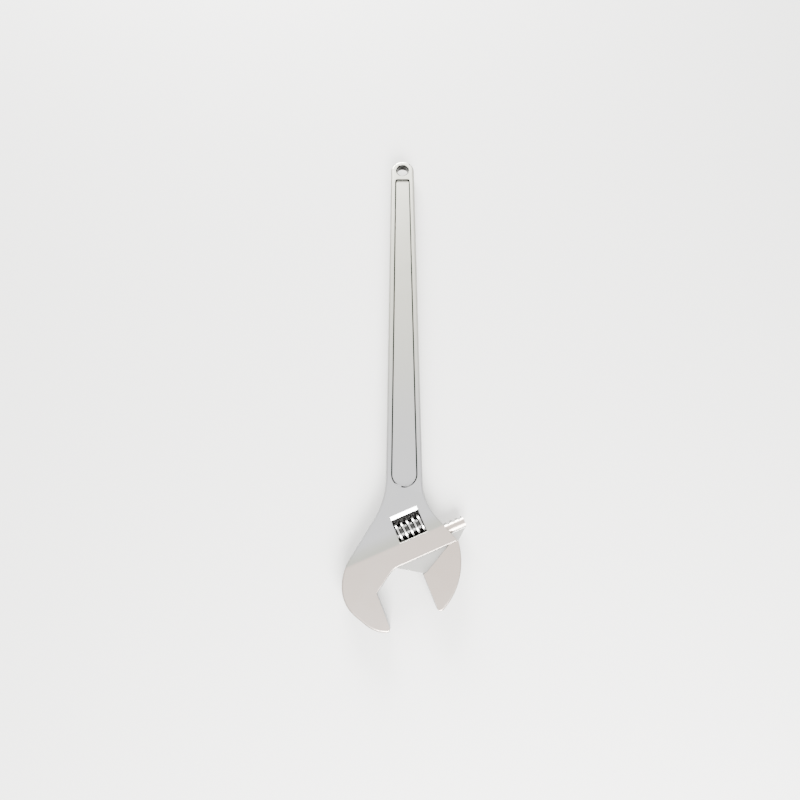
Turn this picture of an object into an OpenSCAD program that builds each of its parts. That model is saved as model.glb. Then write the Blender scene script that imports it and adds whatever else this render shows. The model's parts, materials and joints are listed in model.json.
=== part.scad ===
// Adjustable wrench, 24 inch: a forged body with the fixed jaw, a sliding jaw, and the worm that drives it.
// The wrench lies flat on the table. +Y runs up the handle to the hang hole, and +Z is up.
// Units are millimetres.

/* [Overall] */
// Length from the lowest point of the head to the end of the handle
overall_length = 609.6; // [560:1:680]
// Thickness of the head and of both jaws
head_thickness = 30; // [29:0.5:34]

/* [Jaws] */
// Gap between the gripping faces as the wrench lies at rest
rest_opening = 56.5; // [50:0.5:58]
// Gap between the gripping faces when the jaw is wound shut
closed_gap = 0.2; // [0.2:0.1:1]
// Thickness of the movable jaw's web, which runs in the slot of the body
web_thickness = 9.5; // [8:0.25:11]
// Radius of the round rack bar along the top of the web
bar_radius = 7.75; // [7.5:0.05:7.8]

/* [Worm] */
// Distance from one turn of the thread to the next
thread_pitch = 7; // [6.8:0.1:7.2]
// Radius over the crests of the thread
thread_outer_radius = 13.2; // [13:0.1:13.3]
// Radius at the bottom of the thread
thread_root_radius = 9.4; // [9:0.1:9.6]
// Length of the worm
worm_length = 33.4; // [30:0.1:33.6]
// Straight segments in one turn of the thread
thread_steps = 48; // [36:4:60]

/* [Handle] */
// Half of the handle's width beside the hang hole
handle_end_half_width = 16; // [15:0.25:18]
// Half of the handle's width where it runs into the neck
handle_neck_half_width = 21.9; // [21:0.1:22.5]
// Half of the rim's thickness beside the hang hole
rim_end_half_thickness = 6.25; // [5.5:0.25:7]
// Half of the rim's thickness where it runs into the neck
rim_neck_half_thickness = 9.8; // [9:0.1:10]
// Depth of the sunk panel below the rims, on each face
panel_depth = 2.6; // [1.5:0.1:3.2]
// Radius of the hang hole
hang_hole_radius = 7.6; // [6:0.1:8]
// Width of the chamfer round the hang hole
hang_hole_chamfer = 1.4; // [0.8:0.1:1.8]

/* [Hidden] */
$fn = 64;

head_z = head_thickness / 2;
web_z = web_thickness / 2;
pitch_radius = (thread_outer_radius + thread_root_radius) / 2;
lead_angle = atan(thread_pitch / (2 * PI * pitch_radius));

// Angle between the jaw slide and a line square to the handle
head_angle = 22.5;
// Head frame: u runs from the fixed jaw to the movable jaw, v runs up towards the handle,
// and the middle of the worm is at u = 0, v = 0.
worm_centre = [5.95, 112.25];
slot_edge_v = -34.4;
bar_v = -18;
fixed_face_u = -62.1;
drawn_opening = 56.5;
jaw_shift = rest_opening - drawn_opening;
close_travel = rest_opening - closed_gap;

// Worm window, and the bevels that lead a thumb into it
window_half_length = 17;
window_low_v = -11.3;
window_high_v = 15.3;
bevel_rise_v = 5.2;
bevel_sink = 2.6;
lip_v = 1.2;
lip_sink = 1;

// Clearances
slide_clearance = 0.15;
web_clearance = 0.2;
mesh_clearance = 0.3;
running_clearance = 0.06;

// Where the crest at the middle of the window lies
crest_offset = 0.4;
// Thread profile, as half widths along the axis
crest_half = 0.9;
root_half = 2;

// Rack bar and web at rest
bar_inner = -18.5;
bar_outer = 62.4;
bar_corner_v = -23;
rack_root_v = -thread_outer_radius - 0.5;
rack_open_v = -9;
flank_slope = (root_half - crest_half) / (thread_outer_radius - thread_root_radius);

// Worm pin and spring
pin_radius = 3.5;
pin_head_radius = 4.5;
pin_head_inner_u = 21.5;
pin_head_outer_u = 30.5;
pin_inner_u = -28;
pin_slot_width = 1.4;
pin_slot_depth = 2;
pin_groove_depth = 0.35;
pin_groove_pitch = 1.25;
pin_groove_count = 5;
spring_pocket_radius = 6.2;
spring_pocket_depth = 8;
spring_wire_radius = 0.5;
spring_coil_radius = 4.9;
spring_turns = 5;
spring_steps = 20;
spring_sides = 8;

// Body outline
head_left_x = -71.6;
neck_left_y = 143.2;
neck_right_y = 140.4;
neck_left_radius = 99;
neck_right_radius = 61;
head_upper_radius = 56;
head_lower_radius = 40;
heel_radius = 38;
head_upper_y = 65.2;
head_lower_y = 28.8;
heel_x = -33.7;
tip_radius = 4;
fixed_root_v = -51.3;
relief_end_u = -35.1;
relief_radius = 25;
corner_u = 45.3;
corner_radius = 1.2;

// Movable jaw outline: its back is one arc about this centre
jaw_back_centre = [-11.3, 76.5];
jaw_back_radius = 76;
jaw_back_top = 13;
jaw_back_bottom = -44;
jaw_tip_radius = 4.2;
ramp_low = [-4, -52.2];
ramp_high = [33, -35.8];

// Panel in each face of the handle
panel_top_y = 579;
panel_bottom_y = 160;
panel_top_half_width = 8.7;
panel_bottom_half_width = 14.6;
panel_corner_radius = 2;
hole_y = overall_length - 15.1;

// The body lies with its back on z = 0 and the middle of its whole outline on x = 0, y = 0
right_x = head_point([bar_outer + jaw_shift, bar_corner_v])[0];
centre_shift = [-(head_left_x + right_x) / 2, -overall_length / 2, head_z];

far = 120;
// Largest distance between an arc and the straight pieces that draw it
arc_error = 0.03;

function head_point(p) = [
    worm_centre[0] + p[0] * cos(head_angle) - p[1] * sin(head_angle),
    worm_centre[1] + p[0] * sin(head_angle) + p[1] * cos(head_angle)
];

function unit(a) = a / norm(a);
function turn_between(a, b) = acos(max(-1, min(1, unit(a) * unit(b))));
function arc_count(radius, turn) = max(2, ceil(turn / (2 * acos(1 - arc_error / max(radius, 0.1)))));

// Points of the arc that rounds corner b, between a before it and c after it
function corner_arc(a, b, c, radius) =
    let (
        back = unit(a - b),
        ahead = unit(c - b),
        turn = 180 - turn_between(back, ahead),
        reach = radius * tan(turn / 2),
        middle = b + unit(back + ahead) * radius / cos(turn / 2),
        from = b + back * reach - middle,
        to = b + ahead * reach - middle,
        side = from[0] * to[1] - from[1] * to[0] > 0 ? 1 : -1,
        count = arc_count(radius, turn)
    )
    [for (i = [0:count]) let (t = side * turn * i / count)
        middle + [from[0] * cos(t) - from[1] * sin(t), from[0] * sin(t) + from[1] * cos(t)]];

// How far a corner's arc reaches along the sides that meet there
function corner_reach(a, b, c) =
    b[2] * tan((180 - turn_between([a[0] - b[0], a[1] - b[1]], [c[0] - b[0], c[1] - b[1]])) / 2);

// Shortest straight stretch left between two neighbouring arcs; below zero they would cross
function straight_left(corners) =
    let (n = len(corners))
    min([for (i = [0:n - 1])
        let (
            a = corners[(i + n - 1) % n],
            b = corners[i],
            c = corners[(i + 1) % n],
            d = corners[(i + 2) % n]
        )
        norm([c[0] - b[0], c[1] - b[1]]) - corner_reach(a, b, c) - corner_reach(b, c, d)]);

// Closed outline from corners [x, y, radius]
function rounded(corners) =
    assert(straight_left(corners) > 0.01, "two corner arcs of an outline cross")
    let (n = len(corners))
    [for (i = [0:n - 1])
        let (
            a = corners[(i + n - 1) % n],
            b = corners[i],
            c = corners[(i + 1) % n]
        )
        each b[2] > 0
            ? corner_arc([a[0], a[1]], [b[0], b[1]], [c[0], c[1]], b[2])
            : [[b[0], b[1]]]];

function with_radius(p, radius) = [p[0], p[1], radius];

// The handle tapers evenly from the neck to its end
handle_low_y = 168;
width_slope = (handle_neck_half_width - handle_end_half_width) / (hole_y - handle_low_y);
rim_slope = (rim_neck_half_thickness - rim_end_half_thickness) / (hole_y - handle_low_y);
function handle_half_width(y) = handle_end_half_width + width_slope * (hole_y - y);
function rim_z(y) = rim_end_half_thickness + rim_slope * (hole_y - y);

// The v at which the line of constant u reaches a given height y
function meet_y(u, y) = (y - worm_centre[1] - u * sin(head_angle)) / cos(head_angle);

end_half_width = handle_half_width(overall_length);
body_corners = [
    [-end_half_width, overall_length, end_half_width - 0.1],
    [-handle_half_width(neck_left_y), neck_left_y, neck_left_radius],
    [head_left_x, head_upper_y, head_upper_radius],
    [head_left_x, head_lower_y, head_lower_radius],
    [heel_x, 0, heel_radius],
    with_radius(head_point([fixed_face_u, meet_y(fixed_face_u, 0)]), tip_radius),
    with_radius(head_point([fixed_face_u, fixed_root_v]), 1),
    with_radius(head_point([relief_end_u, slot_edge_v]), relief_radius),
    with_radius(head_point([corner_u, slot_edge_v]), corner_radius),
    [handle_half_width(neck_right_y), neck_right_y, neck_right_radius],
    [end_half_width, overall_length, end_half_width - 0.1]
];

// Point on the arc of the jaw's back, and the corner where two of its tangents meet
function back_point(angle, radius) = jaw_back_centre + radius * [cos(angle), sin(angle)];
back_half = (jaw_back_top - jaw_back_bottom) / 2;
back_corner = back_point((jaw_back_top + jaw_back_bottom) / 2, jaw_back_radius / cos(back_half));
back_low = back_point(jaw_back_bottom, jaw_back_radius);

// The tip is where the last tangent of the back meets the gripping face
function to_head(p) = [
    (p[0] - worm_centre[0]) * cos(head_angle) + (p[1] - worm_centre[1]) * sin(head_angle),
    -(p[0] - worm_centre[0]) * sin(head_angle) + (p[1] - worm_centre[1]) * cos(head_angle)
];
corner_uv = to_head(back_corner);
low_uv = to_head(back_low);
moving_face_u = fixed_face_u + drawn_opening;
tip_t = (moving_face_u - corner_uv[0]) / (low_uv[0] - corner_uv[0]);
tip_uv = [moving_face_u, corner_uv[1] + tip_t * (low_uv[1] - corner_uv[1])];
top_uv = to_head(back_point(jaw_back_top, jaw_back_radius));

jaw_corners = [
    with_radius(tip_uv, jaw_tip_radius),
    with_radius(corner_uv, jaw_back_radius - 0.5),
    with_radius(top_uv, 0),
    [top_uv[0] + 0.9, slot_edge_v - slide_clearance, 1],
    [ramp_high[0] + 2, slot_edge_v - slide_clearance, 3],
    [ramp_low[0] + 2.7, ramp_low[1] - 0.2, 1],
    [moving_face_u, ramp_low[1] - 1, 1]
];

// The web hangs from the middle of the rack bar
web_corners = [
    [bar_inner, bar_v, 0],
    [bar_outer, bar_v, 0],
    [bar_outer, bar_corner_v, 1],
    [46.7, -34.8, 0],
    [40, -44, 0],
    [2, -53, 0],
    [ramp_low[0], ramp_low[1], 0.5],
    [-30.1, -35.6, 0.5],
    [-30.6, -33.6, 1]
];

// What is kept of the bar: its outer end is chamfered above and follows the web's slant below
bar_trim = [
    [bar_inner, bar_v + bar_radius + 1],
    [bar_outer - 2, bar_v + bar_radius + 1],
    [bar_outer, bar_v + bar_radius - 2.5],
    [bar_outer, bar_corner_v],
    [46.7, -34.8],
    [bar_inner, -34.8]
];

slot_margin = 0.8;
slot_shift = slot_margin + close_travel;
slot_corners = [
    [bar_inner - slot_shift, bar_v, 3],
    [-30.6 - slot_shift, -34.2, 1],
    [-30.1 - slot_shift, -37, 0.5],
    [ramp_low[0] - close_travel, ramp_low[1] - 0.6, 0],
    [-40, -62, 0],
    [far, -62, 0],
    [far, bar_v, 0]
];

panel_corners = [
    [-panel_top_half_width, panel_top_y, panel_corner_radius],
    [-panel_bottom_half_width, panel_bottom_y, panel_bottom_half_width - 0.3],
    [panel_bottom_half_width, panel_bottom_y, panel_bottom_half_width - 0.3],
    [panel_top_half_width, panel_top_y, panel_corner_radius]
];

// Upper half of the handle's side view, opening out below the neck so that the head keeps its own thickness
handle_side = [
    [-far, 0, 0],
    [overall_length + 10, 0, 0],
    [overall_length + 10, rim_z(overall_length + 10), 0],
    [handle_low_y, rim_z(handle_low_y), 90],
    [118, head_z + 4, 0],
    [-far, head_z + 4, 0]
];

// Upper half of the head's side view, across the jaw slide: the flat jaw faces, a short fall, then the neck
head_side = [
    [-far, 0, 0],
    [overall_length, 0, 0],
    [overall_length, rim_neck_half_thickness + 0.2, 0],
    [62, rim_neck_half_thickness + 0.2, 80],
    [24.3, head_z - 1.7, 0],
    [-8, head_z - 0.8, 12],
    [-13, head_z, 6],
    [-far, head_z, 0]
];

module head_frame() {
    translate([worm_centre[0], worm_centre[1], 0])
        rotate([0, 0, head_angle])
            children();
}

module place() {
    translate(centre_shift)
        children();
}

// Outline in the plane of the wrench, through the full height given
module slab(outline, half_height) {
    translate([0, 0, -half_height])
        linear_extrude(height = 2 * half_height)
            polygon(outline);
}

// Cylinder along u, from one u to another
module u_cylinder(radius, from_u, to_u, v) {
    translate([from_u, v, 0])
        rotate([0, 90, 0])
            cylinder(r = radius, h = to_u - from_u);
}

// Side view, given as [distance up, height], drawn out sideways and mirrored to the back face
module side_slab(outline, half_width) {
    for (side = [0, 1])
        mirror([0, 0, side])
            translate([-half_width, 0, 0])
                rotate([90, 0, 90])
                    linear_extrude(height = 2 * half_width)
                        polygon(outline);
}

module panel_cutter() {
    difference() {
        slab(rounded(panel_corners), head_z + 1);
        side_slab([
            [100, -0.01],
            [overall_length, -0.01],
            [overall_length, rim_z(overall_length) - panel_depth],
            [100, rim_z(100) - panel_depth]
        ], far);
    }
}

module hang_hole() {
    hole_z = rim_z(hole_y);
    translate([0, hole_y, 0]) {
        cylinder(r = hang_hole_radius, h = 2 * far, center = true);
        for (side = [0, 1])
            mirror([0, 0, side])
                translate([0, 0, hole_z - hang_hole_chamfer])
                    cylinder(r1 = hang_hole_radius, r2 = hang_hole_radius + 5, h = 5);
    }
}

module window_bevels() {
    surface_z = head_z - 1.25;
    lead_in = [
        [window_high_v - 1, surface_z - bevel_sink - 0.46],
        [window_high_v + bevel_rise_v + 4, surface_z + 2],
        [window_high_v - 1, surface_z + 2]
    ];
    lip = [
        [window_low_v + 1, head_z - 0.4 - lip_sink - 0.8],
        [window_low_v + 1, head_z + 1],
        [window_low_v - 1.5 * lip_v, head_z + 1]
    ];
    side_slab(lead_in, window_half_length);
    side_slab(lip, window_half_length);
}

module window_cutter() {
    translate([-window_half_length, window_low_v, -far])
        cube([2 * window_half_length, window_high_v - window_low_v, 2 * far]);
    u_cylinder(thread_outer_radius + 0.4, -window_half_length, window_half_length, 0);
    window_bevels();
}

module slide_cutter() {
    u_cylinder(bar_radius + slide_clearance, bar_inner - slot_shift, far, bar_v);
    slab(rounded(slot_corners), web_z + web_clearance);
}

module pin_cutter() {
    u_cylinder(pin_radius + running_clearance, pin_inner_u - 1, pin_head_inner_u + 1, 0);
    u_cylinder(pin_head_radius + running_clearance, pin_head_inner_u, far, 0);
}

module wrench_body() {
    color("silver")
        place()
            difference() {
                intersection() {
                    slab(rounded(body_corners), head_z);
                    side_slab(rounded(handle_side), far);
                    head_frame()
                        side_slab(rounded(head_side), 2 * far);
                }
                panel_cutter();
                hang_hole();
                head_frame() {
                    window_cutter();
                    slide_cutter();
                    pin_cutter();
                }
            }
}

// One valley of the rack, tilted to lie along the thread that runs in it
module rack_valley(u) {
    low_half = crest_half + mesh_clearance + flank_slope * (rack_root_v + thread_outer_radius);
    high_half = crest_half + mesh_clearance + flank_slope * (rack_open_v + thread_outer_radius);
    translate([u, 0, 0])
        rotate([0, -lead_angle, 0])
            slab([
                [-low_half, rack_root_v],
                [low_half, rack_root_v],
                [high_half, rack_open_v],
                [-high_half, rack_open_v]
            ], bar_radius + 2);
}

module movable_jaw() {
    color("gainsboro")
        place()
            head_frame()
                difference() {
                    translate([jaw_shift, 0, 0])
                        union() {
                            slab(rounded(jaw_corners), head_z);
                            slab(rounded(web_corners), web_z);
                            intersection() {
                                u_cylinder(bar_radius, bar_inner, bar_outer, bar_v);
                                slab(bar_trim, bar_radius + 1);
                            }
                        }
                    for (n = [-3:9])
                        rack_valley(crest_offset + thread_pitch * (n + 1 / 4));
                }
}

// Thread and core as one surface that follows the helix; it is longer than the worm, which is cut from it
worm_turns = ceil(worm_length / thread_pitch) + 3;
thread_profile = [
    [-1 / 2, thread_root_radius],
    [-root_half / thread_pitch, thread_root_radius],
    [-crest_half / thread_pitch, thread_outer_radius],
    [crest_half / thread_pitch, thread_outer_radius],
    [root_half / thread_pitch, thread_root_radius]
];

function thread_point(j, i) =
    let (
        angle = 360 * j / thread_steps,
        turns = j / thread_steps - worm_turns / 2,
        radius = thread_profile[i][1]
    )
    [
        crest_offset + thread_pitch * (turns - 1 / 4 + thread_profile[i][0]),
        radius * cos(angle),
        radius * sin(angle)
    ];

module thread_solid() {
    rows = worm_turns * thread_steps;
    last = rows - thread_steps;
    width = len(thread_profile);
    axis_low = (rows + 1) * width;
    axis_high = axis_low + 1;
    reach = thread_pitch * worm_turns / 2;
    points = [
        for (j = [0:rows], i = [0:width - 1]) thread_point(j, i),
        [-reach - thread_pitch / 4, 0, 0],
        [reach - thread_pitch / 4, 0, 0]
    ];
    along = [for (j = [0:rows - 1], i = [0:width - 2])
        [j * width + i, j * width + i + 1, (j + 1) * width + i + 1, (j + 1) * width + i]];
    between = [for (j = [0:last - 1])
        [
            j * width + width - 1,
            (j + thread_steps) * width,
            (j + 1 + thread_steps) * width,
            (j + 1) * width + width - 1
        ]];
    low_loop = [
        for (j = [0:thread_steps]) j * width,
        for (i = [width - 1:-1:1]) i
    ];
    high_loop = [
        for (j = [last:rows]) j * width + width - 1,
        for (i = [width - 2:-1:0]) rows * width + i
    ];
    low_cap = [for (k = [0:len(low_loop) - 1])
        [axis_low, low_loop[k], low_loop[(k + 1) % len(low_loop)]]];
    high_cap = [for (k = [0:len(high_loop) - 1])
        [axis_high, high_loop[(k + 1) % len(high_loop)], high_loop[k]]];
    quads = concat(along, between);
    triangles = [for (q = quads) each [[q[0], q[1], q[2]], [q[0], q[2], q[3]]]];
    polyhedron(points = points, faces = concat(triangles, low_cap, high_cap));
}

module adjusting_worm() {
    half = worm_length / 2;
    color("lightgray")
        place()
            head_frame()
                difference() {
                    intersection() {
                        thread_solid();
                        u_cylinder(thread_outer_radius + 1, -half, half, 0);
                    }
                    u_cylinder(pin_radius + running_clearance, -far, far, 0);
                    u_cylinder(spring_pocket_radius, half - spring_pocket_depth, far, 0);
                }
}

// Slotted pin: a plain shank and, at the head end, a short threaded length drawn as rings
module worm_pin() {
    color("dimgray")
        place()
            head_frame()
                difference() {
                    union() {
                        u_cylinder(pin_radius, pin_inner_u, pin_head_inner_u + 1, 0);
                        u_cylinder(pin_head_radius, pin_head_inner_u + 0.1, pin_head_outer_u, 0);
                    }
                    translate([pin_head_outer_u - pin_slot_depth, -far, -pin_slot_width / 2])
                        cube([far, 2 * far, pin_slot_width]);
                    for (n = [1:pin_groove_count])
                        translate([pin_head_inner_u + n * pin_groove_pitch, 0, 0])
                            rotate([0, 90, 0])
                                rotate_extrude()
                                    polygon([
                                        [pin_head_radius - pin_groove_depth, 0],
                                        [pin_head_radius + 1, -0.6],
                                        [pin_head_radius + 1, 0.6]
                                    ]);
                }
}

// The spring's end turns lie closed, and the turns between them are open
spring_low_u = worm_length / 2 - spring_pocket_depth + 0.1;
spring_high_u = window_half_length - 0.05;
spring_closed_rise = 2.1 * spring_wire_radius;
spring_free_rise = spring_high_u - spring_low_u - 2 * spring_wire_radius - 2 * spring_closed_rise;
function spring_u(turn) = spring_low_u + spring_wire_radius + (
    turn < 1 ? spring_closed_rise * turn
    : turn > spring_turns - 1 ? spring_closed_rise * (2 - spring_turns + turn) + spring_free_rise
    : spring_closed_rise + spring_free_rise * (turn - 1) / (spring_turns - 2)
);

module worm_spring() {
    rings = spring_turns * spring_steps;
    points = [for (j = [0:rings], i = [0:spring_sides - 1])
        let (
            angle = 360 * j / spring_steps,
            around = 360 * i / spring_sides,
            radius = spring_coil_radius + spring_wire_radius * cos(around)
        )
        [
            spring_u(j / spring_steps) + spring_wire_radius * sin(around),
            radius * cos(angle),
            radius * sin(angle)
        ]];
    walls = [for (j = [0:rings - 1], i = [0:spring_sides - 1])
        let (k = (i + 1) % spring_sides, a = j * spring_sides, b = (j + 1) * spring_sides)
        each [[a + i, a + k, b + k], [a + i, b + k, b + i]]];
    start_cap = [[for (i = [spring_sides - 1:-1:0]) i]];
    end_cap = [[for (i = [0:spring_sides - 1]) rings * spring_sides + i]];
    color("gray")
        place()
            head_frame()
                polyhedron(points = points, faces = concat(walls, start_cap, end_cap));
}

wrench_body();
movable_jaw();
adjusting_worm();
worm_pin();
worm_spring();
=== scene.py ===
# %% [markdown]
# # A long adjustable wrench in satin chrome
# The wrench lies flat on a pale table: a forged body with the fixed jaw, a jaw that slides on a rack,
# and a thumb worm in a window that moves it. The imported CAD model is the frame. It gives every place and
# size, and this lesson rounds its rims, breaks its other edges, and gives each part its finish.

import json
import math

import bmesh
import bpy
from mathutils import Matrix, Vector


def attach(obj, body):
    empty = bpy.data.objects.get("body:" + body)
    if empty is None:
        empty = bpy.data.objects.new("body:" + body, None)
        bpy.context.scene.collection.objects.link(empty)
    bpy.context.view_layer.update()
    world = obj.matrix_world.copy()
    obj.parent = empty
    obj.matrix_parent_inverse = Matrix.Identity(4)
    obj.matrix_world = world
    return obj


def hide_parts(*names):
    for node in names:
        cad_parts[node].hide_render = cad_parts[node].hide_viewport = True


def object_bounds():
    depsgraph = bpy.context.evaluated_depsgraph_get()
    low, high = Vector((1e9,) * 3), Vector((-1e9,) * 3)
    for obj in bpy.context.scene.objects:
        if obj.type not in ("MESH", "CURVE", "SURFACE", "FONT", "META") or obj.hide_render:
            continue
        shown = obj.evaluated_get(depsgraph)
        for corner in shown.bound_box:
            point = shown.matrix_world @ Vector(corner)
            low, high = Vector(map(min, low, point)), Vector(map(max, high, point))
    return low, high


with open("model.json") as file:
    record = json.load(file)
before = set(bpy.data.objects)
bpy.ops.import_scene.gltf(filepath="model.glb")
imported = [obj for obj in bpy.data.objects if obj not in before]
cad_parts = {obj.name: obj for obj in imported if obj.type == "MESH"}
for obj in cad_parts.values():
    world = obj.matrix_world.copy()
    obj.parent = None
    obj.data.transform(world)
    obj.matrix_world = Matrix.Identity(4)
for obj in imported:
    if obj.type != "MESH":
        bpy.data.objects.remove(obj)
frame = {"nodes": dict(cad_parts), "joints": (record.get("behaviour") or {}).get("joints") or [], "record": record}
cad_low, cad_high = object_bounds()
MM = 0.001
print("wrench", [round(v / MM, 1) for v in cad_high - cad_low], "mm, nodes", sorted(frame["nodes"]))

# %% [markdown]
# The head leans to one side of the handle, so most of its shapes line up with the jaw slide and not with the
# table's edges. The joint of the worm already holds that direction. From it come two handy distances for any
# point: u along the slide, towards the moving jaw, and v across it, towards the handle.

# %% Measure along and across the jaw slide
joints = {joint["name"]: joint for joint in frame["joints"]}
worm_centre = Vector(joints["worm_spin"]["pos_m"])
slide_u = Vector(joints["worm_spin"]["axis"]).normalized()
slide_v = Vector((0, 0, 1)).cross(slide_u)
mid_z = worm_centre.z


def along_slide(point):
    """How far a point is from the worm's middle, along and across the slide, in millimetres."""
    offset = Vector(point) - worm_centre
    return offset.dot(slide_u) / MM, offset.dot(slide_v) / MM


print("slide leans", round(math.degrees(math.atan2(slide_u.y, slide_u.x)), 2), "degrees")

# %% [markdown]
# A CAD solid has edges as sharp as a knife, while a forging leaves its die with rounded rims, and the rounds
# are what catch a line of light. A plain bevel can't make them here, because the round fades from 3 mm on the
# handle to almost nothing at the gripping face. So the top faces are inset four times by a hair, and each
# point of those rings is then slid onto a quarter circle as wide as the round is at that place.

# %% Round the rim of a face by an amount that changes along it
RINGS = 4
HAIR = 0.02
WALL_SLOPE = 0.2


def blend(value, low, high):
    """0 below low, 1 above high, and an even slope between them."""
    return max(0.0, min(1.0, (value - low) / (high - low)))


def round_rim(copy, faces, round_of):
    """Rounds the rim of some faces; round_of gives each point's radius in millimetres."""
    rims = []
    for ring in range(RINGS):
        made = bmesh.ops.inset_region(
            copy, faces=faces, thickness=HAIR * MM, use_even_offset=True, use_boundary=True
        )
        rims.append(made["faces"])
    loops = [{vert for face in rim for vert in face.verts} for rim in rims]
    loops.append({vert for face in faces for vert in face.verts})
    steps = []
    for rim, inside in zip(rims, loops[1:]):
        step = {}
        for edge in {edge for face in rim for edge in face.edges}:
            outer, inner = edge.verts
            if outer in inside:
                outer, inner = inner, outer
            if inner in inside and outer not in inside:
                step[outer] = inner
        steps.append(step)
    starts = []
    for outer, inner in steps[0].items():
        walls = [face.normal for face in outer.link_faces if abs(face.normal.z) < WALL_SLOPE]
        wall = sum(walls, Vector()).normalized() if walls else Vector()
        starts.append((outer, outer.co.copy(), (inner.co - outer.co) / HAIR, wall))
    for point, place, inwards, wall in starts:
        radius = round_of(place, wall)
        down = -1 if place.z > mid_z else 1
        for ring in range(RINGS + 1):
            turn = math.pi / 2 * ring / RINGS
            point.co = place + inwards * radius * (1 - math.cos(turn))
            point.co.z += down * radius * MM * (1 - math.sin(turn))
            point.co.z = max(cad_low.z, min(cad_high.z, point.co.z))
            if ring < RINGS:
                point = steps[ring][point]
    return len(starts)


# %% [markdown]
# The CAD mesh comes as loose triangles, so a copy of it is merged first, and the triangles that lie flat
# together become one face again. After the rims are rounded, a narrow bevel takes the burr off every edge
# that is still sharp. Weighted normals keep the big flats looking flat beside the small rounds.

# %% Copy a CAD node, round its rims and soften its other edges
MERGE = 0.05
SAME_FLAT = math.radians(0.4)
SHARP = math.radians(35)
FACES_OUT = 0.7


def softened_copy(node, name, body, is_outer, round_of, edge_round):
    """A merged copy of a CAD node, with its two outer faces rounded along their rims."""
    copy = bmesh.new()
    copy.from_mesh(frame["nodes"][node].data)
    bmesh.ops.remove_doubles(copy, verts=copy.verts, dist=MERGE * MM)
    bmesh.ops.dissolve_limit(copy, angle_limit=SAME_FLAT, verts=copy.verts, edges=copy.edges)
    points = 0
    for side in (1, -1):
        patch = [
            face
            for face in copy.faces
            if face.normal.z * side > FACES_OUT
            and all(is_outer(vert.co, side) for vert in face.verts)
        ]
        points += round_rim(copy, patch, round_of)
    copy.normal_update()
    weights = copy.edges.layers.float.new("bevel_weight_edge")
    for edge in copy.edges:
        sharp = len(edge.link_faces) == 2 and edge.calc_face_angle(0) > SHARP
        edge[weights] = 1.0 if sharp and edge.calc_length() > edge_round * MM else 0.0
    for face in copy.faces:
        face.smooth = True
    mesh = bpy.data.meshes.new(name)
    copy.to_mesh(mesh)
    copy.free()
    piece = bpy.data.objects.new(name, mesh)
    bpy.context.scene.collection.objects.link(piece)
    soften = piece.modifiers.new("broken edges", "BEVEL")
    soften.limit_method = "WEIGHT"
    soften.width = edge_round * MM
    soften.segments = 2
    soften.use_clamp_overlap = False
    normals = piece.modifiers.new("flat faces stay flat", "WEIGHTED_NORMAL")
    normals.keep_sharp = True
    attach(piece, body)
    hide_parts(node)
    print(name, len(mesh.polygons), "faces,", points, "rim points rounded")
    return piece


# %% [markdown]
# The body's rim is rounded most along the handle, where a hand holds it, and round the back of the fixed
# jaw. The gripping face, the slot and the worm's window are milled into the forging afterwards, so their
# edges only lose their burr. The wall beside each point tells which kind it is.

# %% Round the forged body
# Radii, in millimetres
FULL_ROUND = 3.0
JAW_ROUND = 2.3
PANEL_ROUND = 2.0
SLOT_ROUND = 0.9
SMALL_ROUND = 0.3
BODY_BURR = 0.25
# Places up the wrench from the fixed jaw's tip, in millimetres
HEAD_TOP = 100
HANDLE_FOOT = 150
PANEL_FOOT = 160
PANEL_HEAD = 579
PANEL_TOP = 582
# The panel's half width at its foot, and what it loses by its head
PANEL_HALF = 14.6
PANEL_TAPER = 5.9
PANEL_MARGIN = 0.7
HOLE_EDGE = 11
# Places along and across the slide, in millimetres
WINDOW_HALF = 17.6
WINDOW_LOW = -15
WINDOW_HIGH = 22
MOUTH_LOW = -54
FACE_NEAR = -55
FACE_FAR = -64
SHOULDER_U = -20
# The least half thickness that counts as an outer face: at the head, and what it loses up the neck and handle
HEAD_KEEP = 12.2
NECK_DROP = 3.7
HANDLE_DROP = 3.6
NECK_LOW = 128
NECK_HIGH = 162
HANDLE_HIGH = 609
# A wall looks along an axis of the slide where the cosine between them passes this
MOUTH_WALL = -0.5
# How far a wall turns from the gripping face before its rim has its whole round, in degrees
TURN_START = 4
TURN_END = 100
mounts = {mount["name"]: Vector(mount["pos_m"]) for mount in frame["record"]["mounts"]}
hang_hole = mounts["hang_hole"]


def turned_from(cosine):
    """How far a wall is turned from the gripping face, from 0 to 1."""
    degrees = math.degrees(math.acos(max(-1.0, min(1.0, cosine))))
    return blend(degrees, TURN_START, TURN_END)


def body_outer(place, side):
    """True on the body's outer faces, and not on the floors of the panels, the slot or the thumb's bevel."""
    up = (place.y - cad_low.y) / MM
    height = (place.z - mid_z) * side / MM
    drop = NECK_DROP * blend(up, NECK_LOW, NECK_HIGH) + HANDLE_DROP * blend(up, NECK_HIGH, HANDLE_HIGH)
    return height > HEAD_KEEP - drop


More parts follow.
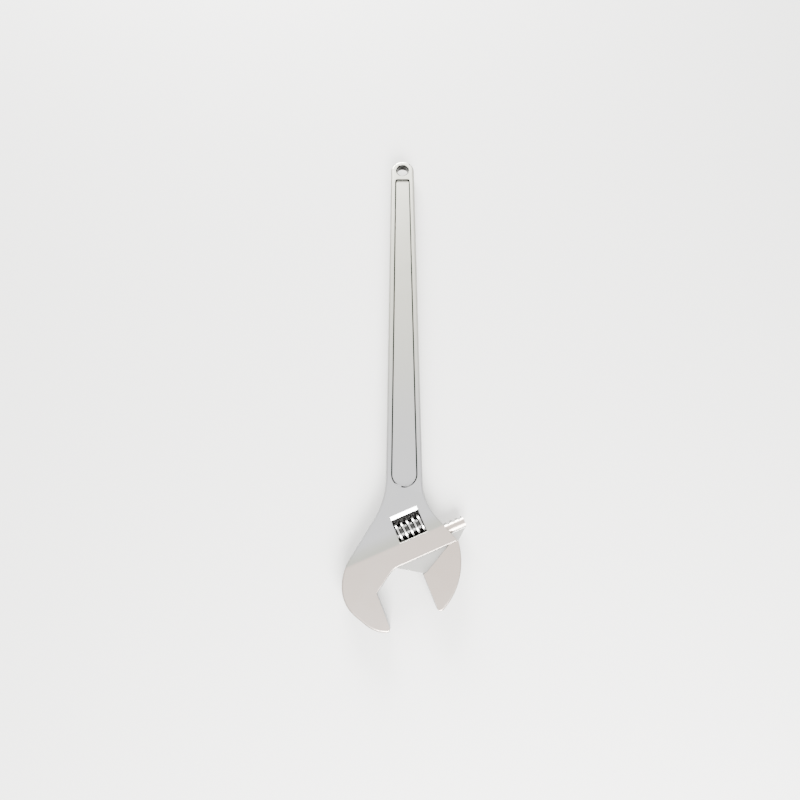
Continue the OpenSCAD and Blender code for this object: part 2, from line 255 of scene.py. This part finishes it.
def body_round(place, wall):
    """The round of the body's rim at one point, in millimetres."""
    u, v = along_slide(place)
    up = (place.y - cad_low.y) / MM
    if up > HANDLE_FOOT:
        panel_edge = PANEL_HALF + PANEL_MARGIN - PANEL_TAPER * blend(up, PANEL_FOOT, PANEL_HEAD)
        if up < PANEL_TOP and abs(place.x - hang_hole.x) / MM < panel_edge:
            return PANEL_ROUND
        return SMALL_ROUND if (place.xy - hang_hole.xy).length / MM < HOLE_EDGE else FULL_ROUND
    if abs(u) < WINDOW_HALF and WINDOW_LOW < v < WINDOW_HIGH:
        return SMALL_ROUND
    if v > MOUTH_LOW and wall.dot(slide_v) < MOUTH_WALL:
        return SLOT_ROUND
    if v > MOUTH_LOW and FACE_FAR < u < FACE_NEAR:
        return SMALL_ROUND
    if wall.dot(slide_u) > 0 and u > SHOULDER_U:
        return SMALL_ROUND + (FULL_ROUND - SMALL_ROUND) * blend(up, HEAD_TOP - 1, HANDLE_FOOT)
    jaw_back = SMALL_ROUND + (JAW_ROUND - SMALL_ROUND) * turned_from(wall.dot(slide_u))
    return jaw_back + (FULL_ROUND - jaw_back) * blend(up, HEAD_TOP, HANDLE_FOOT)


forged_body = softened_copy(
    "wrench_body", "forged_body", "body", body_outer, body_round, BODY_BURR
)

# %% [markdown]
# The sliding jaw is forged too, with a generous round along its curved back. Its gripping face, its web and
# the rack's teeth are milled, so they stay crisp.

# %% Round the sliding jaw
JAW_BACK_ROUND = 2.0
JAW_BURR = 0.15
JAW_FLAT = 14
RAMP_LOW = -58
ROUND_STARTS = 36
ROUND_IS_FULL = 50
FACE_WALL = 0.7


def jaw_outer(place, side):
    """True on the jaw's two flat faces, and not on its web or its bar."""
    return (place.z - mid_z) * side / MM > JAW_FLAT


def jaw_round(place, wall):
    """The round of the sliding jaw's rim at one point, in millimetres."""
    v = along_slide(place)[1]
    facing = wall.dot(slide_u)
    if v > RAMP_LOW and facing < FACE_WALL:
        return SMALL_ROUND
    share = turned_from(-facing) * blend(-v, ROUND_STARTS, ROUND_IS_FULL)
    return SMALL_ROUND + (JAW_BACK_ROUND - SMALL_ROUND) * share


sliding_jaw = softened_copy("movable_jaw", "sliding_jaw", "jaw", jaw_outer, jaw_round, JAW_BURR)

# %% [markdown]
# ## Materials
# One function turns an sRGB hex colour to linear, one adds a node, and one lays colours over each other. Each
# coat of colour shows where some measure, such as a place or a slope, runs from one value to another.

# %% Three helpers for every finish


def linear(hex_colour):
    """A colour written as sRGB hex, in the linear values a shader works in."""
    channels = [int(hex_colour[i : i + 2], 16) / 255 for i in (0, 2, 4)]
    return [c / 12.92 if c <= 0.04045 else ((c + 0.055) / 1.055) ** 2.4 for c in channels] + [1.0]


def add_node(tree, kind, settings=None, inputs=None):
    """Adds a node. Each input is a value, or the output socket that feeds it."""
    node = tree.nodes.new(kind)
    for name, value in (settings or {}).items():
        setattr(node, name, value)
    for name, value in (inputs or {}).items():
        if isinstance(value, bpy.types.NodeSocket):
            tree.links.new(value, node.inputs[name])
        else:
            node.inputs[name].default_value = value
    return node


def lay_colours(tree, base_hex, coats):
    """Lays coats of colour over a base; each is a measure, its two ends, the most it covers and a colour."""
    colour = linear(base_hex)
    for measure, start, end, most, step, coat_hex in coats:
        share = add_node(
            tree,
            "ShaderNodeMapRange",
            {"interpolation_type": step},
            {"Value": measure, "From Min": start, "From Max": end, "To Max": most},
        ).outputs["Result"]
        colour = add_node(
            tree, "ShaderNodeMix", {"data_type": "RGBA"}, {0: share, 6: colour, 7: linear(coat_hex)}
        ).outputs[2]
    return colour


print("mid grey in linear:", round(linear("808080")[0], 3))

# %% [markdown]
# Satin chrome is a thin bright plate over a ground forging. It mirrors the room softly. It looks a little
# warmer where the jaws are ground flat and greyer on the neck. Painted shade darkens the upright sides, a strip
# across the head and the steep walls of the handle's sunk panel, where it draws a dark line round it. By depth,
# painted shade darkens the body's inner faces and painted light brightens the sliding jaw's web. A cloudy
# noise stains it faintly and varies its gloss.

# %% Satin chrome plate
# Sizes in millimetres. Real grain is finer than this, and is drawn coarser so that it can show at all
CLOUD_SIZE = 18
GRAIN_SIZE = 0.9
STAIN_SHARE = 0.3
STAIN_HEX = "B4B2AC"
PANEL_SHADE_HEX = "242423"
# Where the painted shade line round the sunk panel may lie: half widths at the panel's foot and head, and its two
# ends up the handle
LINE_FOOT_HALF = 17.2
LINE_HEAD_HALF = 10.9
LINE_LOW = 154
LINE_HIGH = 605.5
# Where one colour of the head gives way to the next, across the slide and in depth. The darker strip across the
# slide is painted shade.
SHADE_BAND_FROM, SHADE_BAND_WHOLE = -14, -11
NECK_FROM, NECK_WHOLE = -10, 6
# In depth: painted shade on the body's inner faces, painted light on the sliding jaw's sunk web
DEPTH_LIGHTING_FROM, DEPTH_LIGHTING_WHOLE = 7, 5.5
# The handle's colour comes in slowly, between these places along the table
HANDLE_FROM, HANDLE_WHOLE = -140, 100


def satin_chrome(name, hexes, roughness):
    """Satin chrome plate on forged steel, warmer on the ground jaw flats, greyer on the neck, with painted shade
    and painted light.
    """
    material = bpy.data.materials.new(name)
    material.use_nodes = True
    tree = material.node_tree
    tree.nodes.clear()
    place = add_node(tree, "ShaderNodeTexCoord").outputs["Object"]
    across = add_node(
        tree, "ShaderNodeVectorMath", {"operation": "DOT_PRODUCT"}, {0: place, 1: slide_v}
    ).outputs["Value"]
    middle = worm_centre.dot(slide_v)
    sides, lengthways, upwards = add_node(
        tree, "ShaderNodeSeparateXYZ", None, {"Vector": place}
    ).outputs
    facing = add_node(tree, "ShaderNodeNewGeometry").outputs["Normal"]
    tilt = add_node(tree, "ShaderNodeSeparateXYZ", None, {"Vector": facing}).outputs["Z"]
    # How deep a point lies under the flats, how far it is from the handle's middle line, how level it is
    distances = []
    for value, zero in ((upwards, mid_z), (sides, hang_hole.x), (tilt, 0.0)):
        gap = add_node(tree, "ShaderNodeMath", {"operation": "SUBTRACT"}, {0: value, 1: zero}).outputs[0]
        distances.append(
            add_node(tree, "ShaderNodeMath", {"operation": "ABSOLUTE"}, {0: gap}).outputs[0]
        )
    depth, beside, level = distances
    cloud = add_node(
        tree,
        "ShaderNodeTexNoise",
        None,
        {"Vector": place, "Scale": 1 / (CLOUD_SIZE * MM), "Detail": 3.0, "Roughness": 0.5},
    ).outputs["Fac"]
    panel_edge = add_node(
        tree,
        "ShaderNodeMapRange",
        None,
        {
            "Value": lengthways,
            "From Min": cad_low.y + PANEL_FOOT * MM,
            "From Max": cad_low.y + PANEL_HEAD * MM,
            "To Min": LINE_FOOT_HALF * MM,
            "To Max": LINE_HEAD_HALF * MM,
        },
    ).outputs["Result"]
    # Painted shade: the mask of a dark line on the steep walls of the handle's sunk panel, where the recess lies
    # in shade
    panel_shade = add_node(
        tree, "ShaderNodeMath", {"operation": "LESS_THAN"}, {0: beside, 1: panel_edge}
    ).outputs[0]
    for measure, start, end in (
        (lengthways, cad_low.y + LINE_LOW * MM, cad_low.y + (LINE_LOW + 2) * MM),
        (lengthways, cad_low.y + LINE_HIGH * MM, cad_low.y + (LINE_HIGH - 1) * MM),
        (level, 0.992, 0.93),
    ):
        share = add_node(
            tree,
            "ShaderNodeMapRange",
            {"interpolation_type": "SMOOTHSTEP"},
            {"Value": measure, "From Min": start, "From Max": end},
        ).outputs["Result"]
        panel_shade = add_node(
            tree, "ShaderNodeMath", {"operation": "MULTIPLY"}, {0: panel_shade, 1: share}
        ).outputs[0]
    colour = lay_colours(
        tree,
        hexes["ground"],
        (
            # By depth: painted shade on the body's inner faces, painted light on the sliding jaw's web
            (depth, DEPTH_LIGHTING_FROM * MM, DEPTH_LIGHTING_WHOLE * MM, 1.0, "SMOOTHSTEP", hexes["web"]),
            # Painted shade: a darker strip across the slide, where the head's slope turns from the light
            (
                across,
                middle + SHADE_BAND_FROM * MM,
                middle + SHADE_BAND_WHOLE * MM,
                1.0,
                "SMOOTHSTEP",
                hexes["painted_band_shade"],
            ),
            (
                across,
                middle + NECK_FROM * MM,
                middle + NECK_WHOLE * MM,
                1.0,
                "SMOOTHSTEP",
                hexes["neck"],
            ),
            (lengthways, HANDLE_FROM * MM, HANDLE_WHOLE * MM, 1.0, "SMOOTHSTEP", hexes["handle"]),
            (cloud, 0.0, 1.0, STAIN_SHARE, "LINEAR", STAIN_HEX),
            # Painted shade: upright and steep faces are painted darker, as they face the dim low room
            (level, 0.9, 0.35, 1.0, "SMOOTHSTEP", hexes["sides"]),
            # Painted shade along the walls of the handle's sunk panel
            (panel_shade, 0.0, 1.0, 1.0, "LINEAR", PANEL_SHADE_HEX),
        ),
    )
    rough = add_node(
        tree,
        "ShaderNodeMapRange",
        None,
        {"Value": cloud, "To Min": roughness - 0.04, "To Max": roughness + 0.05},
    ).outputs["Result"]
    grain = add_node(
        tree, "ShaderNodeTexNoise", None, {"Vector": place, "Scale": 1 / (GRAIN_SIZE * MM), "Detail": 2.0}
    ).outputs["Fac"]
    bump = add_node(
        tree,
        "ShaderNodeBump",
        None,
        {"Height": grain, "Strength": 0.08, "Distance": 0.05 * MM},
    ).outputs["Normal"]
    shader = add_node(
        tree,
        "ShaderNodeBsdfPrincipled",
        None,
        {"Base Color": colour, "Roughness": rough, "Metallic": 1.0, "Normal": bump},
    )
    add_node(tree, "ShaderNodeOutputMaterial", None, {"Surface": shader.outputs["BSDF"]})
    print(name, "has", len(tree.nodes), "nodes")
    return material


body_chrome = satin_chrome(
    "Satin chrome plate on the forged body",
    {
        "ground": "EADACE",
        # Painted shade on the body's inner faces near its middle depth
        "web": "DAD6D0",
        # Painted shade: a darker strip where the head's slope turns from the light
        "painted_band_shade": "C6C7BC",
        "neck": "D9D9DB",
        "handle": "EAE9DA",
        # Painted shade on the upright faces
        "sides": "6E6E6D",
    },
    0.3,
)
jaw_chrome = satin_chrome(
    "Satin chrome plate on the sliding jaw",
    {
        "ground": "ECDACC",
        # Painted light: the sunk web and bar are painted brighter than their shaded place
        "web": "F8F6F0",
        # Painted shade: grey on the rack's teeth beside the body, which the neck and handle coats keep too
        "painted_band_shade": "9C9C99",
        "neck": "9C9C99",
        "handle": "9C9C99",
        # Painted shade on the upright faces
        "sides": "7A7977",
    },
    0.27,
)

# %% [markdown]
# The worm is turned from steel bar. Its crests keep a bright steel colour, while the rest of the thread is
# painted near black, with a grey root, as painted shade in the grooves. Distance from the worm's axis tells
# crest from groove, so the same finish also suits the pin and the spring, which share that axis.

# %% Turned steel for the worm, the pin and the spring
# Sizes in millimetres. Real turning marks are finer, and are drawn coarser so that they can show at all
EDGE_FADE = 0.5
SCRATCH_SIZE = 1.2


def turned_steel(name, flank_hex, root_hex, crest_hex, root_radius, crest_radius, roughness):
    """Turned steel round the worm's axis: bright on the crests, with painted shade grey at the root and dark
    between.
    """
    material = bpy.data.materials.new(name)
    material.use_nodes = True
    tree = material.node_tree
    tree.nodes.clear()
    place = add_node(tree, "ShaderNodeTexCoord").outputs["Object"]
    offset = add_node(
        tree, "ShaderNodeVectorMath", {"operation": "SUBTRACT"}, {0: place, 1: worm_centre}
    ).outputs["Vector"]
    beside = add_node(
        tree, "ShaderNodeVectorMath", {"operation": "CROSS_PRODUCT"}, {0: offset, 1: slide_u}
    ).outputs["Vector"]
    radius = add_node(
        tree, "ShaderNodeVectorMath", {"operation": "LENGTH"}, {0: beside}
    ).outputs["Value"]
    root_fade = (root_radius + EDGE_FADE) * MM
    crest_fade = (crest_radius - EDGE_FADE) * MM
    colour = lay_colours(
        tree,
        flank_hex,
        (
            (radius, root_fade, root_radius * MM, 1.0, "SMOOTHSTEP", root_hex),
            (radius, crest_fade, crest_radius * MM, 1.0, "SMOOTHSTEP", crest_hex),
        ),
    )
    scratches = add_node(
        tree, "ShaderNodeTexNoise", None, {"Vector": place, "Scale": 1 / (SCRATCH_SIZE * MM), "Detail": 3.0}
    ).outputs["Fac"]
    rough = add_node(
        tree,
        "ShaderNodeMapRange",
        None,
        {"Value": scratches, "To Min": roughness - 0.05, "To Max": roughness + 0.08},
    ).outputs["Result"]
    shader = add_node(
        tree,
        "ShaderNodeBsdfPrincipled",
        None,
        {"Base Color": colour, "Roughness": rough, "Metallic": 1.0},
    )
    add_node(tree, "ShaderNodeOutputMaterial", None, {"Surface": shader.outputs["BSDF"]})
    print(name, "has", len(tree.nodes), "nodes")
    return material


# Painted shade: near-black flanks and a grey root darken the worm's grooves
worm_steel = turned_steel(
    "Bright turned steel on the worm", "0A0A0B", "4E4E4D", "DAD9D6", 9.4, 13.2, 0.24
)
pin_steel = turned_steel(
    "Oiled turned steel on the pin", "4A4A4B", "6E6E6F", "6E6E6F", 2.5, 4.5, 0.35
)
spring_steel = turned_steel("Drawn spring wire", "4A4A4C", "2C2C2E", "6A6A6C", 4.4, 5.4, 0.3)

# %% [markdown]
# Each piece gets its one finish. The worm, the pin and the spring keep the shape that the CAD gave them, so
# their finish goes straight onto the CAD nodes.

# %% Put each finish on its piece


def dress(piece, material):
    """Gives a piece one material."""
    piece.data.materials.clear()
    piece.data.materials.append(material)
    print(piece.name, "wears", material.name)


dress(forged_body, body_chrome)
dress(sliding_jaw, jaw_chrome)
dress(frame["nodes"]["adjusting_worm"], worm_steel)
dress(frame["nodes"]["worm_pin"], pin_steel)
dress(frame["nodes"]["worm_spring"], spring_steel)

# %% [markdown]
# ## Table, light and camera
# A plain pale table carries the wrench. Chrome shows what stands round it, so the table and the room are most
# of what is seen in the metal.

# %% Lay the table
TABLE_HALF = 4.0
table_mesh = bpy.data.meshes.new("table_top")
table_bm = bmesh.new()
bmesh.ops.create_grid(table_bm, x_segments=1, y_segments=1, size=TABLE_HALF)
table_bm.to_mesh(table_mesh)
table_bm.free()
table_top = bpy.data.objects.new("table_top", table_mesh)
bpy.context.scene.collection.objects.link(table_top)
paint = bpy.data.materials.new("Pale matt table paint")
paint.use_nodes = True
paint_shader = paint.node_tree.nodes["Principled BSDF"]
paint_shader.inputs["Base Color"].default_value = linear("F4F3F0")
paint_shader.inputs["Roughness"].default_value = 0.7
table_mesh.materials.append(paint)
print("table", 2 * TABLE_HALF, "m wide")

# %% [markdown]
# The room is bright overhead and dim near the floor, so flat faces shine evenly and the rounds at their rims
# turn dark, which draws an outline. Two soft lamps, low in front and low behind, whiten the table without
# standing in the mirror of the flats. The front one lights the bevel over the worm's window.

# %% Hang the lamps
FLOOR_GLOW = 0.3
CEILING_GLOW = 1.85
room = bpy.data.worlds.new("Soft white room")
bpy.context.scene.world = room
room.use_nodes = True
sky = room.node_tree.nodes["Background"]
sky.inputs["Color"].default_value = linear("F2F2F2")
look = add_node(room.node_tree, "ShaderNodeTexCoord").outputs["Generated"]
rise = add_node(room.node_tree, "ShaderNodeSeparateXYZ", None, {"Vector": look}).outputs["Z"]
ceiling = add_node(
    room.node_tree,
    "ShaderNodeMapRange",
    {"interpolation_type": "SMOOTHSTEP"},
    {
        "Value": rise,
        "From Min": 0.05,
        "From Max": 0.75,
        "To Min": FLOOR_GLOW,
        "To Max": CEILING_GLOW,
    },
)
room.node_tree.links.new(sky.inputs["Strength"], ceiling.outputs["Result"])


def hang_lamp(name, place, aim, size, watts):
    """A square soft lamp, turned to face a point."""
    lamp = bpy.data.lights.new(name, "AREA")
    lamp.shape = "SQUARE"
    lamp.size = size
    lamp.energy = watts
    holder = bpy.data.objects.new(name, lamp)
    bpy.context.scene.collection.objects.link(holder)
    holder.location = place
    holder.rotation_mode = "QUATERNION"
    holder.rotation_quaternion = (Vector(aim) - Vector(place)).to_track_quat("-Z", "Y")
    print(name, "gives", watts, "W from", place)


hang_lamp("front_lamp", (0.25, -1.35, 1.05), (0, -0.15, 0), 1.0, 120)
hang_lamp("back_lamp", (-0.3, 1.7, 0.8), (0, 0, 0), 0.9, 115)

# %% [markdown]
# The camera stands over the head and looks up the handle, 20 degrees off straight down, so the far end looks
# smaller. The small turns and the shift place the wrench in the frame.

# %% Stand the camera over the head
CAMERA_PLACE = (-0.0007, -0.253, 0.8906)
CAMERA_TURN = 0.73
CAMERA_TILT = 20
CAMERA_ROLL = -1.02
eye = bpy.data.cameras.new("camera")
eye.lens = 32.24
eye.shift_y = -0.097
camera = bpy.data.objects.new("camera", eye)
bpy.context.scene.collection.objects.link(camera)
turn = (
    Matrix.Rotation(math.radians(CAMERA_TURN), 4, "Z")
    @ Matrix.Rotation(math.radians(CAMERA_TILT), 4, "X")
    @ Matrix.Rotation(math.radians(CAMERA_ROLL), 4, "Z")
)
camera.matrix_world = Matrix.Translation(CAMERA_PLACE) @ turn
bpy.context.scene.camera = camera
print("camera", round(camera.matrix_world.translation.z, 3), "m over the table")

# %% [markdown]
# The rounded pieces must still fill the box of the CAD model and never pass it. The scene is brought up
# to date at the end.

# %% Bring the scene up to date
bpy.context.view_layer.update()
